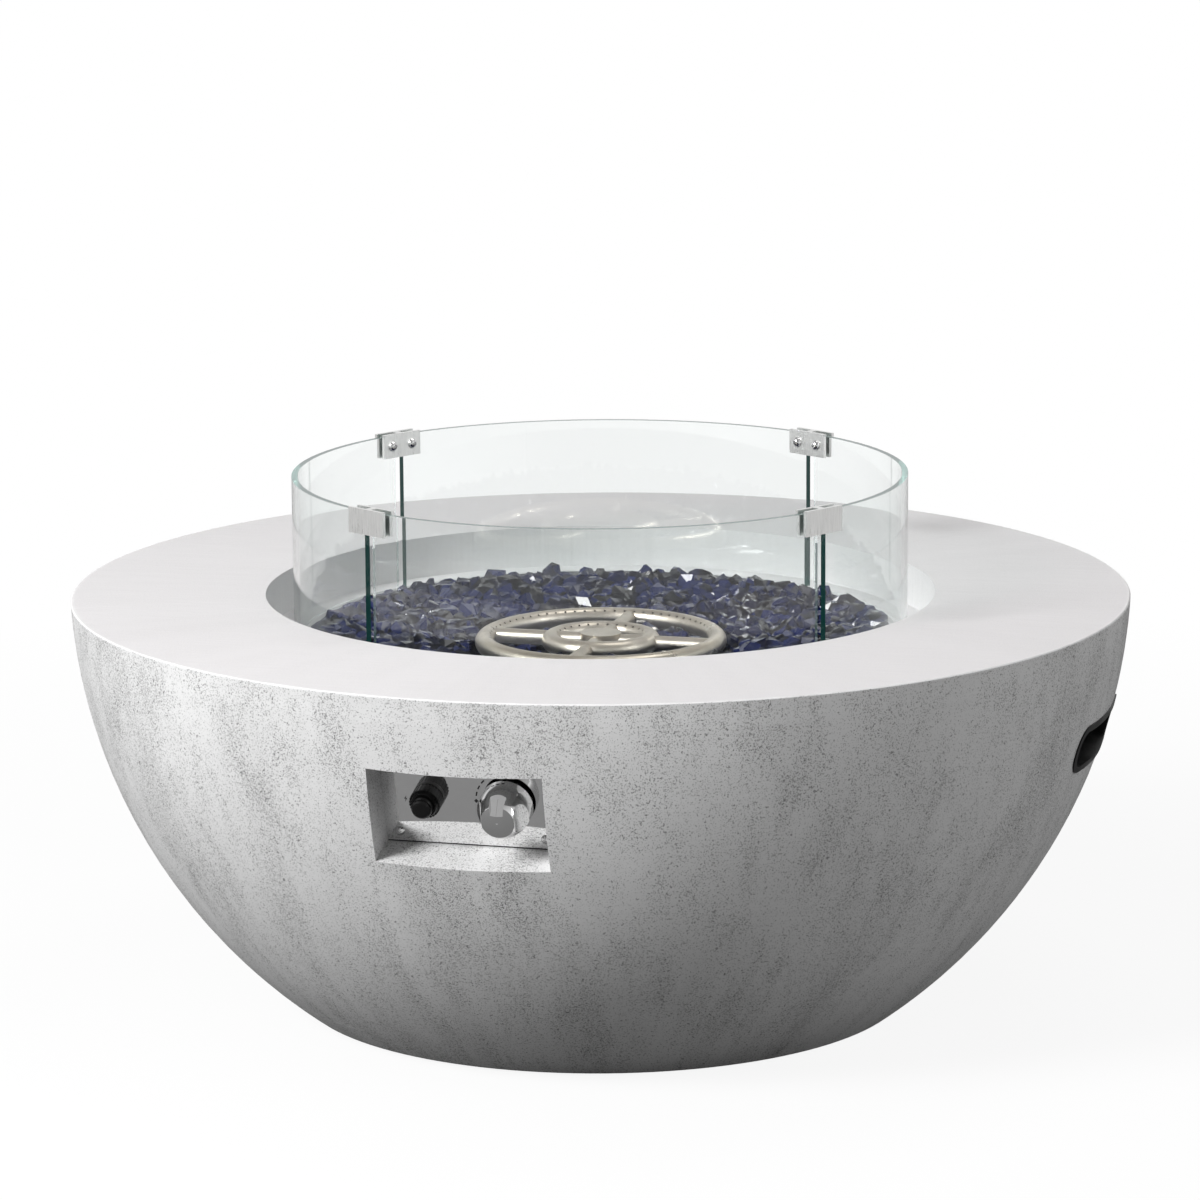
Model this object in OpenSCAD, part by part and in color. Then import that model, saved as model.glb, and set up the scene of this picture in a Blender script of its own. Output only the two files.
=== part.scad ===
// Round cast fire bowl table with a drop-in gas burner and a round glass wind guard.
// Millimetres. Origin at the centre of the footprint on the floor, +Z up, controls face -Y.

/* [Bowl] */
// Outer diameter of the tabletop
bowl_d = 1067; // [980:1:1180]
// Height of the cast bowl, from its base to the tabletop
bowl_h = 418; // [395:1:450]
// Diameter of the flat base
base_d = 617; // [560:1:660]
// Radius of the rounded side, seen in section
side_r = 554; // [530:1:600]
// Thickness of the cast wall and of the tabletop
wall_t = 26; // [20:1:32]
// Thickness of the base ring
base_t = 28; // [22:1:36]
// Diameter of the access hole in the base
base_hole_d = 420; // [380:1:450]
// Small bevel round the tabletop's outer edge
edge_bevel = 1.2; // [0.5:0.1:4]
// Height that the rubber pads stand out below the base
foot_h = 3; // [2:0.5:5]
// Diameter of a rubber pad
foot_d = 44; // [34:1:54]
// Depth of the pocket that holds a pad
foot_pocket = 6; // [4:0.5:8]

/* [Fire opening] */
// Diameter of the fire opening in the tabletop
opening_d = 676; // [656:1:700]
// Depth of the ledge below the tabletop
ledge_depth = 43; // [36:1:50]
// Thickness of the ledge
ledge_t = 24; // [18:1:30]
// Diameter of the hole in the ledge that the burner pan drops into
pan_hole_d = 564; // [552:1:576]

/* [Wind guard] */
// Outer diameter of the glass ring
guard_d = 620; // [614:1:630]
// Height of the glass
guard_h = 163; // [130:1:190]
// Thickness of the glass
glass_t = 6; // [5:0.5:6.5]
// Gap between two neighbouring panels
panel_gap = 11; // [10:0.5:14]
// Angle of the first joint between panels, counted from the right
first_joint = 59; // [40:1:80]
// Length of a clip
clip_l = 50; // [44:1:56]
// Height of a clip
clip_h = 25; // [20:1:32]
// Thickness of a clip's inner and outer plate
clip_plate_t = 3.5; // [2.5:0.1:4]
// Width of the slot in a clip that takes the glass
clip_slot = 8; // [7.6:0.1:9]
// Width of the web between a clip's plates
clip_web = 8; // [6:0.5:9]
// Height that a clip stands above the glass
clip_rise = 3; // [0:0.5:6]
// Distance between the two screws of a clip
clip_screw_pitch = 27; // [24:0.5:30]
// Diameter of a clip screw's domed head
clip_head_d = 11; // [9:0.5:12]

/* [Burner] */
// Depth of the burner pan
pan_depth = 60; // [52:1:72]
// Thickness of the pan's sheet steel
pan_t = 1.5; // [1:0.1:2.5]
// Outer diameter of the pan's flange
pan_flange_d = 600; // [590:1:604]
// Diameter of the burner tube
tube_d = 19; // [16:0.5:22]
// Wall of the burner tube
tube_wall = 1.5; // [1:0.1:2.5]
// Radius of the outer burner ring, to the middle of its tube
outer_ring_r = 118; // [110:1:130]
// Radius of the inner burner ring, to the middle of its tube
inner_ring_r = 50.5; // [46:0.5:60]
// Depth of the burner's top below the ledge
burner_drop = 1; // [0:0.5:5]
// Distance between two flame ports along a ring
port_pitch = 10.7; // [10:0.1:20]
// Diameter of a flame port
port_d = 2.4; // [1.5:0.1:3]
// Diameter of the burner's hub
hub_d = 42; // [36:1:50]
// Diameter of the burner's threaded nipple
nipple_d = 21; // [19:0.5:24]
// Typical size of a piece of fire glass
nugget_size = 34; // [30:1:40]

/* [Control recess] */
// Depth of the recess's centre below the tabletop
recess_drop = 122; // [114:1:130]
// Width of the recess
recess_w = 170; // [160:1:184]
// Height of the recess, along the wall
recess_h = 99; // [92:1:106]
// Depth of the recess to the panel, square to the wall at its middle
recess_depth = 47; // [44:1:52]
// Thickness of the cast walls round the recess
recess_wall = 14; // [10:1:18]
// Thickness of the cast rim behind the panel
rim_t = 12; // [8:1:16]
// Width of the rim beside the window behind the panel
rim_side = 24; // [20:1:26]
// Width of the rim above and below that window
rim_edge = 9; // [7:0.5:11]
// Thickness of the control panel
plate_t = 1.5; // [1:0.1:2.5]
// Distance of the panel screws from the panel's side edge
panel_screw_side = 13.5; // [11:0.5:15]
// Distance of the panel screws from the panel's upper or lower edge
panel_screw_edge = 12; // [10:0.5:14]

/* [Valve and knob] */
// Place of the knob, to the right of the recess's centre
knob_x = 38; // [34:0.5:44]
// Diameter of the knob
knob_d = 51; // [44:0.5:54]
// Distance from the panel to the knob's front
knob_reach = 40; // [36:0.5:44]
// Width of the knob's grip bar at its front
grip_w = 31; // [26:0.5:36]
// Distance that the knob pushes in
knob_push = 3; // [2:0.5:3.5]
// Diameter of the valve's spindle
spindle_d = 8; // [6:0.5:9]
// Diameter of the valve's body
valve_d = 30; // [26:0.5:34]
// Length of the valve's body behind the panel
valve_l = 44; // [40:1:52]

/* [Igniter] */
// Place of the igniter, to the left of the recess's centre
igniter_x = 39; // [34:0.5:44]
// Place of the igniter above the recess's centre
igniter_y = 2; // [0:0.5:4]
// Diameter of the igniter's screw-on collar
collar_d = 30; // [28.5:0.5:33]
// Length of the collar
collar_l = 16; // [15:0.5:20]
// Diameter of the push button
button_d = 20; // [17:0.5:21]
// Distance from the panel to the button's front
button_reach = 28; // [26:0.5:33]
// Distance that the button pushes in
button_push = 3; // [2:0.5:3.5]
// Diameter of the igniter's barrel behind the panel
barrel_d = 22; // [20:0.5:23]
// Length of the igniter's barrel behind the panel
barrel_l = 58; // [56:1:66]
// Diameter of the AAA cell
cell_d = 10.5; // [10.3:0.1:10.6]
// Length of the AAA cell
cell_l = 44.5; // [44:0.1:45]

/* [Hand holds] */
// Depth of a hand hold's centre below the tabletop
hand_drop = 124; // [116:1:134]
// Width of a hand hold
hand_w = 180; // [150:1:190]
// Height of a hand hold, along the wall
hand_h = 42; // [36:1:50]
// Radius of its corners
hand_corner = 19; // [12:0.5:20]
// Depth of the cup
hand_depth = 46; // [34:1:54]
// Width of the cup's flange
hand_flange = 4; // [3:0.5:7]

/* [Gas inlet] */
// Width of the notch in the base that the supply hose passes
notch_w = 44; // [40:1:54]
// Outer diameter of the flare thread that takes the supply hose
flare_d = 15.88; // [12.7:0.01:19]
// Length of that thread
flare_l = 18; // [14:0.5:22]
// Diameter of the hoses inside the bowl
hose_d = 12; // [10:0.5:13]

/* [Hidden] */
$fn = 64;
// Facets of the large round forms
big_fn = 180;
// Gap between pieces that pass each other, a loose fit and a running fit
gap = 0.3;
loose = 0.15;
run = 0.05;

// Heights
top_z = foot_h + bowl_h;
ledge_z = top_z - ledge_depth;
ledge_under_z = ledge_z - ledge_t;
pan_floor_z = ledge_z - pan_depth;
burner_z = ledge_z - burner_drop - tube_d / 2;
recess_z = top_z - recess_drop;
hand_z = top_z - hand_drop;

// The side is one arc through the edge of the base and the edge of the tabletop
chord = [(bowl_d - base_d) / 2, bowl_h];
chord_l = norm(chord);
arc_lift = sqrt(side_r * side_r - chord_l * chord_l / 4);
arc_x = (bowl_d + base_d) / 4 - arc_lift * chord[1] / chord_l;
arc_z = foot_h + bowl_h / 2 + arc_lift * chord[0] / chord_l;
function wall_r(z) = arc_x + sqrt(side_r * side_r - pow(arc_z - z, 2));
function wall_tilt(z) = asin((arc_z - z) / side_r);

// A place on the wall: x to the right, y up along the wall, z straight out of it
module at_wall(az, z) {
    rotate([0, 0, az]) translate([0, -wall_r(z), z]) rotate([90 + wall_tilt(z), 0, 0]) children();
}
// The same for a point and for a direction, on the front of the bowl
recess_tilt = wall_tilt(recess_z);
function front_dir(p) = [p[0],
    -sin(recess_tilt) * p[1] - cos(recess_tilt) * p[2],
    cos(recess_tilt) * p[1] - sin(recess_tilt) * p[2]];
function front_point(p) = [0, -wall_r(recess_z), recess_z] + front_dir(p);

// ---------------------------------------------------------------- shared forms
// The bowl's outline in section, filled, moved inwards by a distance
module bowl_outline(inwards = 0) {
    intersection() {
        translate([arc_x, arc_z]) circle(r = side_r - inwards, $fn = big_fn);
        translate([0, foot_h]) square([bowl_d, bowl_h]);
    }
}

module bowl_section() {
    difference() {
        bowl_outline();
        difference() {
            intersection() {
                bowl_outline(wall_t);
                translate([0, foot_h + base_t]) square([bowl_d, bowl_h - base_t - wall_t]);
            }
            translate([0, ledge_under_z]) square([opening_d / 2 + wall_t, bowl_h]);
        }
        translate([0, ledge_z]) square([opening_d / 2, bowl_h]);
        translate([0, foot_h + base_t]) square([pan_hole_d / 2, bowl_h]);
        square([base_hole_d / 2, bowl_h / 2]);
        translate([bowl_d / 2, top_z]) rotate(45) square(edge_bevel * sqrt(2), center = true);
    }
}

module rounded_rect(w, h, r) {
    square([w - 2 * r, h], center = true);
    square([w, h - 2 * r], center = true);
    for (x = [-1, 1], y = [-1, 1]) translate([x * (w / 2 - r), y * (h / 2 - r)]) circle(r);
}

module ring(d_out, d_in, h) {
    difference() {
        cylinder(d = d_out, h = h);
        translate([0, 0, -1]) cylinder(d = d_in, h = h + 2);
    }
}

// Hexagon across flats
module hex(af, h) {
    cylinder(d = af / cos(30), h = h, $fn = 6);
}

module hex_nut(af, bore, h) {
    difference() {
        hex(af, h);
        translate([0, 0, -1]) cylinder(d = bore, h = h + 2);
    }
}

// Domed screw with a hexagon socket: its head sits on z = 0, its shank points down
module dome_screw(head_d, head_h, shank_d, shank_l, socket) {
    cap_r = (head_d * head_d / 4 + head_h * head_h) / (2 * head_h);
    difference() {
        union() {
            intersection() {
                translate([0, 0, head_h - cap_r]) sphere(cap_r);
                cylinder(d = head_d + 1, h = head_h + 1);
            }
            translate([0, 0, -shank_l]) cylinder(d = shank_d, h = shank_l + head_h / 4);
        }
        translate([0, 0, head_h * 0.35]) hex(socket, head_h);
    }
}

function unit(v) = v / norm(v);
function bezier(a, b, c, d, t) =
    pow(1 - t, 3) * a + 3 * pow(1 - t, 2) * t * b + 3 * (1 - t) * t * t * c + pow(t, 3) * d;
// A route from one port to another: it leaves each port straight, by that port's reach
function route(from, from_dir, reach_a, to, to_dir, reach_b, steps) = [for (i = [0:steps])
    bezier(from, from + reach_a * from_dir, to + reach_b * to_dir, to, i / steps)];
function heading(path, i) = unit(path[min(i + 1, len(path) - 1)] - path[max(i - 1, 0)]);

// A round tube along a path that never runs along the side direction
module tube_along(path, d, sides, side, first_dir, last_dir) {
    n = len(path);
    rings = [for (i = [0:n - 1])
        let (t = i == 0 ? first_dir : i == n - 1 ? last_dir : heading(path, i),
             u = unit(cross(t, side)), v = cross(t, u))
        for (k = [0:sides - 1]) path[i] + d / 2 * (cos(360 * k / sides) * u + sin(360 * k / sides) * v)];
    walls = [for (i = [0:n - 2], k = [0:sides - 1]) let (m = (k + 1) % sides)
        each [[i * sides + k, (i + 1) * sides + k, (i + 1) * sides + m],
              [i * sides + k, (i + 1) * sides + m, i * sides + m]]];
    polyhedron(points = rings, faces = concat([[for (k = [0:sides - 1]) k]],
        walls, [[for (k = [sides - 1:-1:0]) (n - 1) * sides + k]]));
}

// A coil spring that stands on z = 0, made of one unbroken wire
module coil(d, wire, turns, h) {
    per_turn = 10;
    n = turns * per_turn;
    path = [for (i = [0:n]) [(d - wire) / 2 * cos(360 * i / per_turn),
        (d - wire) / 2 * sin(360 * i / per_turn), wire / 2 + (h - wire) * i / n]];
    tube_along(path, wire, 6, [0, 0, 1], heading(path, 0), heading(path, n));
}

// ---------------------------------------------------------------- the cast bowl
panel_w = recess_w - 2 * gap;
panel_h = recess_h - 2 * gap;
panel_back = -recess_depth - plate_t;
rim_back = panel_back - rim_t;
window_w = recess_w - 2 * rim_side;
window_h = recess_h - 2 * rim_edge;
panel_screw_d = 5;
panel_screw_l = 11;
foot_ring_r = (base_d + base_hole_d) / 4;
foot_angles = [45, 135, 225, 315];

module panel_screw_places() {
    for (x = [-1, 1], y = [-1, 1])
        translate([x * (panel_w / 2 - panel_screw_side), y * (panel_h / 2 - panel_screw_edge), 0])
            children();
}

module at_feet() {
    for (a = foot_angles) rotate([0, 0, a]) translate([foot_ring_r, 0, 0]) children();
}

notch_z = foot_h + 14;
notch_back = base_hole_d / 2 - 20;
notch_arch_z = notch_z - 6;
// Depth that a cut runs past a face
over = 1;
// Room in front of the wall that a cut through it takes
clear_out = 20;

// The casting is given as three rings that meet on level planes, so that each keeps its own hollow
curb_r = opening_d / 2 + wall_t;
slab_z = top_z - wall_t;
base_top_z = foot_h + base_t;

// Tabletop slab with the curb and the ledge inside it
module bowl_tabletop() {
    color("lightgray") rotate_extrude($fn = big_fn) intersection() {
        bowl_section();
        union() {
            translate([0, slab_z]) square([bowl_d, bowl_h]);
            translate([0, ledge_under_z]) square([curb_r, bowl_h]);
        }
    }
}

// Arched notch for the supply hose, at the back
module notch_cut() {
    translate([0, notch_back, notch_arch_z]) rotate([-90, 0, 0]) cylinder(d = notch_w, h = base_d / 2);
    translate([-notch_w / 2, notch_back, 0]) cube([notch_w, base_d / 2, notch_arch_z]);
}

// Rounded side with the control recess and the hand holds
module bowl_side() {
    color("lightgray") difference() {
        union() {
            rotate_extrude($fn = big_fn) difference() {
                intersection() {
                    bowl_section();
                    translate([0, base_top_z]) square([bowl_d, slab_z - base_top_z]);
                }
                translate([0, ledge_under_z]) square([curb_r, bowl_h]);
            }
            // cast box round the control recess, kept just under the wall's surface
            intersection() {
                at_wall(0, recess_z) translate([0, 0, rim_back]) linear_extrude(clear_out - rim_back)
                    square([recess_w + 2 * recess_wall, recess_h + 2 * recess_wall], center = true);
                rotate_extrude($fn = big_fn) bowl_outline(wall_t / 4);
            }
        }
        at_wall(0, recess_z) {
            translate([0, 0, panel_back]) linear_extrude(clear_out - panel_back)
                square([recess_w, recess_h], center = true);
            translate([0, 0, rim_back - over]) linear_extrude(rim_t + 2 * over)
                square([window_w, window_h], center = true);
            panel_screw_places() translate([0, 0, rim_back + over])
                cylinder(d = panel_screw_d + 2 * loose, h = rim_t, $fn = 32);
        }
        for (az = [-90, 90]) at_wall(az, hand_z) translate([0, 0, -wall_t * 2]) linear_extrude(wall_t * 3)
            rounded_rect(hand_w + 2 * gap, hand_h + 2 * gap, hand_corner + gap);
        notch_cut();
    }
}

// Base ring that stands on the pads
module bowl_base() {
    color("lightgray") difference() {
        rotate_extrude($fn = big_fn) intersection() {
            bowl_section();
            square([bowl_d, base_top_z]);
        }
        at_feet() translate([0, 0, foot_h - over]) cylinder(d = foot_d + 2 * gap, h = foot_pocket + over);
        notch_cut();
    }
}

module foot_pads() {
    color("dimgray") at_feet() cylinder(d = foot_d, h = foot_h + foot_pocket);
}

// ---------------------------------------------------------------- hand holds
cup_t = 2.5;
flange_t = 1.5;

// A thin layer that follows the bowl's side, from one distance off it to another
module wall_layer(from, to) {
    rotate_extrude($fn = big_fn) difference() {
        translate([arc_x, arc_z]) circle(r = side_r + to, $fn = big_fn);
        translate([arc_x, arc_z]) circle(r = side_r + from, $fn = big_fn);
        translate([-2 * bowl_d, -bowl_d]) square([2 * bowl_d, 3 * bowl_d]);
        translate([0, top_z]) square([bowl_d, bowl_d]);
        translate([0, foot_h - bowl_d]) square([bowl_d, bowl_d]);
    }
}

module hand_cup(az) {
    flange_reach = 50;
    color([0.06, 0.06, 0.06]) difference() {
        union() {
            intersection() {
                at_wall(az, hand_z) translate([0, 0, -flange_reach]) linear_extrude(2 * flange_reach)
                    rounded_rect(hand_w + 2 * hand_flange, hand_h + 2 * hand_flange,
                        hand_corner + hand_flange);
                wall_layer(gap / 2, flange_t);
            }
            intersection() {
                at_wall(az, hand_z) translate([0, 0, -hand_depth]) linear_extrude(hand_depth + clear_out)
                    rounded_rect(hand_w, hand_h, hand_corner);
                rotate_extrude($fn = big_fn) bowl_outline(-flange_t / 2);
            }
        }
        at_wall(az, hand_z) translate([0, 0, cup_t - hand_depth]) linear_extrude(hand_depth + clear_out)
            rounded_rect(hand_w - 2 * cup_t, hand_h - 2 * cup_t, hand_corner - cup_t);
    }
}

// ---------------------------------------------------------------- burner and pan
pan_r = pan_hole_d / 2 - 2.5;
nipple_drop = 34;
sensor_y = -outer_ring_r - tube_d / 2 - 16;
sensor_x = 13;
probe_d = 7;

module burner_pan() {
    color("silver") difference() {
        rotate_extrude($fn = big_fn) polygon([
            [0, pan_floor_z - pan_t], [pan_r, pan_floor_z - pan_t], [pan_r, ledge_z],
            [pan_flange_d / 2, ledge_z], [pan_flange_d / 2, ledge_z + pan_t],
            [pan_r - pan_t, ledge_z + pan_t], [pan_r - pan_t, pan_floor_z], [0, pan_floor_z]]);
        translate([0, 0, pan_floor_z - pan_t - 1]) {
            cylinder(d = nipple_d + 2 * gap, h = pan_t + 2);
            for (x = [-1, 1]) translate([x * sensor_x, sensor_y, 0])
                cylinder(d = probe_d + 1, h = pan_t + 2, $fn = 32);
            for (a = [0:60:300]) rotate([0, 0, a + 30]) translate([pan_r * 0.75, 0, 0])
                cylinder(d = 8, h = pan_t + 2, $fn = 32);
        }
    }
}

spoke_d = tube_d * 0.8;
// Space of the hollow tubes, grown or shrunk by a distance
module burner_tubes(grow = 0) {
    for (r = [inner_ring_r, outer_ring_r])
        rotate_extrude($fn = big_fn) translate([r, burner_z]) circle(d = tube_d + 2 * grow, $fn = 32);
    for (a = [0:90:270]) rotate([0, 0, a]) translate([0, 0, burner_z]) rotate([0, 90, 0])
        cylinder(d = spoke_d + 2 * grow, h = outer_ring_r, $fn = 32);
}

// Flame ports lean outwards by this angle
port_lean = 40;
module flame_ports(r) {
    n = floor(360 / (port_pitch / r * 180 / PI) / 4) * 4;
    for (i = [0:n - 1]) rotate([0, 0, (i + 0.5) * 360 / n]) translate([r, 0, burner_z])
        rotate([0, -port_lean, 0]) cylinder(d = port_d, h = tube_d, $fn = 16);
}

module burner() {
    color("lightsteelblue") difference() {
        union() {
            burner_tubes();
            translate([0, 0, burner_z - tube_d / 2]) cylinder(d = hub_d, h = tube_d * 0.95);
            translate([0, 0, pan_floor_z]) cylinder(d = hub_d * 0.8, h = burner_z - pan_floor_z);
            translate([0, 0, pan_floor_z - nipple_drop]) cylinder(d = nipple_d, h = nipple_drop + 5);
        }
        burner_tubes(-tube_wall);
        translate([0, 0, pan_floor_z - nipple_drop - 1])
            cylinder(d = nipple_d - 6, h = burner_z - pan_floor_z + nipple_drop + 4);
        flame_ports(outer_ring_r);
        flame_ports(inner_ring_r);
    }
}

locknut_t = 8;
locknut_af = 36;
module burner_locknut() {
    color("goldenrod") translate([0, 0, pan_floor_z - pan_t - locknut_t])
        hex_nut(locknut_af, nipple_d + 2 * loose, locknut_t);
}

// Bell that mixes air into the gas, screwed on the burner's nipple
mixer_top_z = pan_floor_z - pan_t - locknut_t - 2;
mixer_l = 62;
mixer_d = nipple_d + 9;
elbow_z = mixer_top_z - mixer_l - 13;
jet_d = 13;

module air_mixer() {
    color("darkgoldenrod") difference() {
        union() {
            translate([0, 0, mixer_top_z - mixer_l]) cylinder(d = mixer_d, h = mixer_l);
            translate([0, 0, mixer_top_z - 16]) hex(mixer_d + 3, 12);
        }
        translate([0, 0, mixer_top_z - 28]) cylinder(d = nipple_d + 2 * loose, h = 30);
        translate([0, 0, mixer_top_z - mixer_l + 8]) cylinder(d = nipple_d - 4, h = mixer_l);
        translate([0, 0, mixer_top_z - mixer_l - 1]) cylinder(d = jet_d + 2 * loose, h = mixer_l / 2);
        for (a = [45, 135]) rotate([0, 0, a]) translate([0, 0, mixer_top_z - mixer_l + 22])
            rotate([90, 0, 0]) translate([0, 0, -mixer_d]) cylinder(d = 11, h = 2 * mixer_d, $fn = 32);
    }
}

elbow_reach = 24;
module orifice_elbow() {
    color("gold") difference() {
        union() {
            translate([0, 0, elbow_z]) cylinder(d = jet_d, h = 28);
            translate([0, 0, elbow_z + 7]) hex(19, 6 - gap);
            translate([0, 0, elbow_z]) sphere(d = 17);
            translate([0, 0, elbow_z]) rotate([90, 0, 0]) cylinder(d = hose_d, h = elbow_reach);
            translate([0, -10, elbow_z]) rotate([90, 0, 0]) hex(17, 8);
        }
        translate([0, 0, elbow_z]) cylinder(d = 3, h = 40, $fn = 24);
        translate([0, 0, elbow_z]) rotate([90, 0, 0]) cylinder(d = hose_d - 5, h = 40, $fn = 24);
    }
}

// ---------------------------------------------------------------- fire glass
// A broken lump of glass: six corners, each pushed out and aside by its own amount
module nugget(seed) {
    out = rands(0.32, 0.56, 6, seed);
    aside = rands(-0.16, 0.16, 12, seed + 1);
    turn = rands(0, 360, 2, seed + 2);
    rotate([turn[0], 0, turn[1]]) scale(nugget_size) hull() polyhedron(points = [
        [out[0], aside[0], aside[1]], [-out[1], aside[2], aside[3]], [aside[4], out[2], aside[5]],
        [aside[6], -out[3], aside[7]], [aside[8], aside[9], out[4]], [aside[10], aside[11], -out[5]]],
        faces = [[0, 2, 4], [2, 1, 4], [1, 3, 4], [3, 0, 4], [2, 0, 5], [1, 2, 5], [3, 1, 5], [0, 3, 5]]);
}

row_step = nugget_size * 0.95;
bed_r = pan_flange_d / 2 - 2;
bed_base_z = burner_z - tube_d / 2;
// The heap stays low at the burner, rises towards the pan's wall and lies level over its flange
heap_low = 3;
heap_over = 3;
heap_bend = 1.5;
heap_start_z = bed_base_z + heap_low;
heap_end_z = ledge_z + pan_t + heap_over;
heap_end_r = pan_r - nugget_size / 2;
function heap_share(r) = min(1, max(0, r - outer_ring_r) / (heap_end_r - outer_ring_r));
function heap_z(r) = heap_start_z + (heap_end_z - heap_start_z) * pow(heap_share(r), heap_bend);

module nugget_row(r) {
    n = max(3, round(2 * PI * r / (nugget_size * 1.02)));
    for (i = [0:n - 1]) {
        jog = rands(-1, 1, 3, i + 1000 * r);
        rotate([0, 0, 360 * (i + 0.3 * jog[0]) / n])
            translate([r + 2 * jog[1], 0, heap_z(r) + 2 + 3 * jog[2]]) nugget(i + 100 * r);
    }
}

module fire_glass() {
    clear_tube = tube_d + 2.4;
    row_in = outer_ring_r + tube_d / 2 + 12;
    row_out = bed_r - nugget_size * 0.35;
    outer_rows = round((row_out - row_in) / row_step);
    bed_fn = 44;
    color([0.05, 0.1, 0.4]) difference() {
        union() {
            rotate_extrude($fn = bed_fn) polygon([[0, pan_floor_z], [bed_r, pan_floor_z],
                each [for (r = [bed_r, heap_end_r, (heap_end_r + outer_ring_r) / 2, outer_ring_r, 0])
                    [r, heap_z(r)]]]);
            intersection() {
                union() {
                    nugget_row((hub_d + 2 * inner_ring_r - tube_d) / 4);
                    for (r = [inner_ring_r + tube_d / 2 + 10:row_step / 1.4:outer_ring_r - tube_d / 2 - 8])
                        nugget_row(r);
                    for (k = [0:outer_rows]) nugget_row(row_in + k * (row_out - row_in) / outer_rows);
                }
                translate([0, 0, pan_floor_z]) cylinder(r = bed_r, h = pan_depth + 40, $fn = bed_fn);
            }
        }
        // pan wall and flange under the outermost lumps
        translate([0, 0, pan_floor_z - 1])
            ring(bowl_d, 2 * (pan_r - pan_t - gap), pan_depth + pan_t + gap + 1, $fn = bed_fn);
        for (r = [inner_ring_r, outer_ring_r]) rotate_extrude($fn = 48) {
            translate([r, burner_z]) circle(d = clear_tube, $fn = 10);
            translate([r - tube_d * 0.4, burner_z]) square([tube_d * 0.8, 2 * tube_d]);
        }
        for (a = [0:90:270]) rotate([0, 0, a]) translate([0, 0, burner_z]) rotate([0, 90, 0])
            cylinder(d = spoke_d + 2, h = outer_ring_r, $fn = 10);
        translate([0, 0, pan_floor_z - 1]) cylinder(d = hub_d + 3, h = pan_depth + 40, $fn = 24);
        translate([-sensor_x - 12, sensor_y - 11, pan_floor_z - 1])
            cube([2 * sensor_x + 24, 22, pan_depth + 40]);
    }
}

// ---------------------------------------------------------------- wind guard
gap_angle = panel_gap / (guard_d / 2) * 180 / PI;
panel_angle = 90 - gap_angle;
glass_top_z = ledge_z + guard_h;
// Flat inner side of a clip's outer plate, just off the glass
clip_face = guard_d / 2 + gap - 0.1;
clip_z = glass_top_z + clip_rise - clip_h;
screw_tip = sqrt(pow(guard_d / 2 - glass_t, 2) - pow(clip_screw_pitch / 2 + 3, 2)) - gap / 2;

module glass_panel(i) {
    color([0.75, 0.85, 0.82, 0.4]) rotate([0, 0, first_joint + 90 * (i - 1) + gap_angle / 2])
        translate([0, 0, ledge_z]) rotate_extrude(angle = panel_angle, $fn = big_fn)
        translate([guard_d / 2 - glass_t, 0]) square([glass_t, guard_h]);
}

module at_joint(i) {
    rotate([0, 0, first_joint + 90 * (i - 1)]) translate([clip_face, 0, clip_z]) children();
}

module at_clip_screws(i) {
    at_joint(i) for (y = [-1, 1])
        translate([-clip_slot - clip_plate_t, y * clip_screw_pitch / 2, clip_h / 2])
            rotate([0, -90, 0]) children();
}

module guard_clip(i) {
    color("silver") difference() {
        at_joint(i) {
            translate([0, -clip_l / 2, 0]) cube([clip_plate_t, clip_l, clip_h]);
            translate([-clip_slot - clip_plate_t, -clip_l / 2, 0]) cube([clip_plate_t, clip_l, clip_h]);
            translate([-clip_slot - 1, -clip_web / 2, 0]) cube([clip_slot + 2, clip_web, clip_h]);
        }
        at_clip_screws(i) translate([0, 0, -clip_plate_t - 1])
            cylinder(d = 6 + 2 * loose, h = clip_plate_t + 2, $fn = 32);
    }
}

module clip_screws() {
    color("darkgray") for (i = [1:4]) at_clip_screws(i)
        dome_screw(clip_head_d, 4.5, 6, screw_tip - clip_face + clip_slot + clip_plate_t, 4, $fn = 32);
}

// ---------------------------------------------------------------- control panel
valve_neck_d = spindle_d + 8;
module control_panel() {
    color("gainsboro") at_wall(0, recess_z) translate([0, 0, panel_back]) difference() {
        linear_extrude(plate_t) square([panel_w, panel_h], center = true);
        translate([0, 0, -1]) {
            translate([knob_x, 0, 0]) cylinder(d = valve_neck_d + 2 * gap, h = plate_t + 2);
            translate([-igniter_x, igniter_y, 0]) cylinder(d = barrel_d + 2 * gap, h = plate_t + 2);
            panel_screw_places() cylinder(d = panel_screw_d + 2 * loose, h = plate_t + 2, $fn = 32);
        }
    }
}

module panel_screws() {
    color("silver") at_wall(0, recess_z) translate([0, 0, -recess_depth])
        panel_screw_places() dome_screw(9.5, 3.5, panel_screw_d, panel_screw_l, 3, $fn = 32);
}

// ---------------------------------------------------------------- valve and knob
neck_front = -recess_depth + 5;
valve_nut_t = 4;
plug_d = spindle_d + 6;
plug_front = panel_back - 4;
plug_l = 30;
spindle_back = plug_front - 18;
spindle_front = -recess_depth + knob_reach - 14;
valve_back = panel_back - valve_l;
port_l = 12;
port_s = panel_back - valve_l + 12;
knob_back = -recess_depth + knob_push + 1.5;
knob_front = -recess_depth + knob_reach;
flat_at = spindle_d * 0.28;

module at_knob() {
    at_wall(0, recess_z) translate([knob_x, 0, 0]) children();
}

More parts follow.
